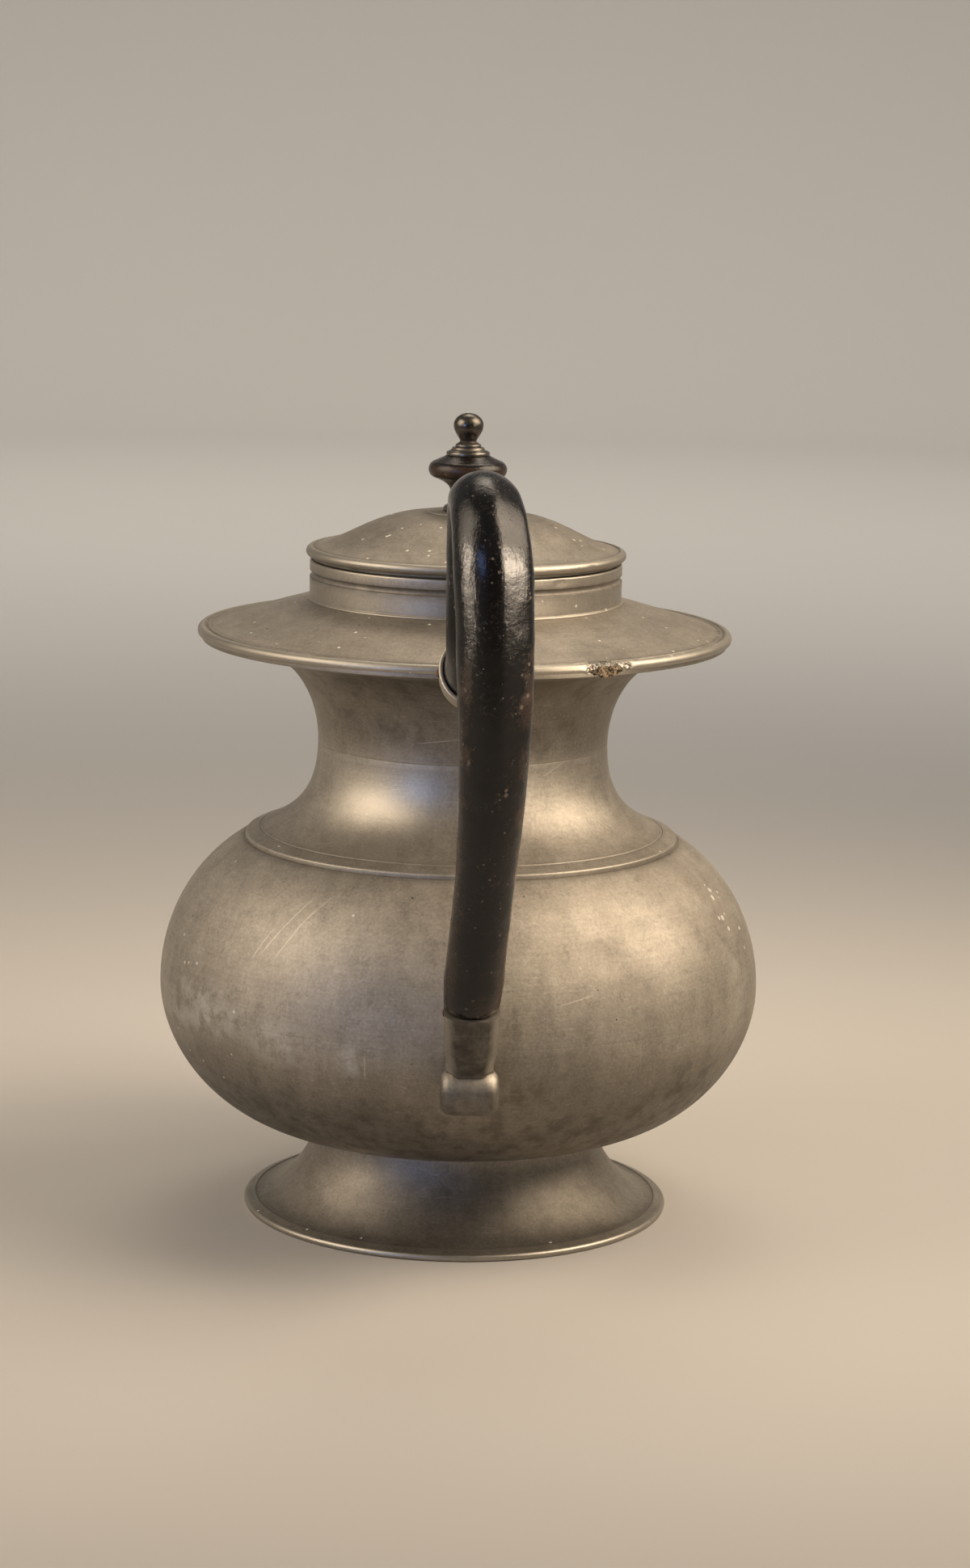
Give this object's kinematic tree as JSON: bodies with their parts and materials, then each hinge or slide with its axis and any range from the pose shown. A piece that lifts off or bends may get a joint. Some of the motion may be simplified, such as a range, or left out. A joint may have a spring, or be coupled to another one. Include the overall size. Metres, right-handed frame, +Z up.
{
  "type": "lidded pewter pot",
  "caption": "Pewter pot on a trumpet foot with a round belly, wide brim, hinged domed lid with a wooden finial, swan-neck spout and a black wooden loop handle pinned into sockets.",
  "frame": {"origin": "centre of the foot, on the surface the pot stands on", "axes": "+Z up along the turned axis of the pot, -Y towards the handle, +Y towards the spout, +X to the right seen from the handle"},
  "size_m": [0.17, 0.2765, 0.227],
  "materials": {
    "pewter": "old grey pewter, satin, with scratches and pits",
    "dark_metal": "darkened metal, worn bright on its edges",
    "black_wood": "black stained wood, polished by use",
    "brown_wood": "dark turned wood with worn brown edges",
    "iron": "iron wire with brown rust"
  },
  "bodies": {
    "pot": {"foot": "pewter", "lower_bowl": "pewter", "upper_bowl": "pewter", "neck": "pewter", "flare": "pewter", "brim": "pewter", "collar": "pewter", "spout_left": "pewter", "spout_right": "pewter", "upper_socket": "pewter", "lower_socket": "pewter", "handle_grip": "black_wood", "upper_handle_pin": "iron", "lower_handle_pin": "iron", "hinge_collar_leaf": "pewter", "hinge_pin": "iron"},
    "lid": {"hinge_lid_leaf": "pewter", "lid": "pewter", "lid_bezel": "pewter", "finial_seat": "dark_metal", "finial_knob": "brown_wood", "finial_washer": "dark_metal", "finial_button": "dark_metal", "finial_nut": "dark_metal"}
  },
  "joints": [
    {"name": "lid_hinge", "type": "hinge", "parent": "pot", "child": "lid", "pos_m": [0, -0.0476, 0.18685], "axis": [1, 0, 0], "range_deg": [0, 106]}
  ]
}
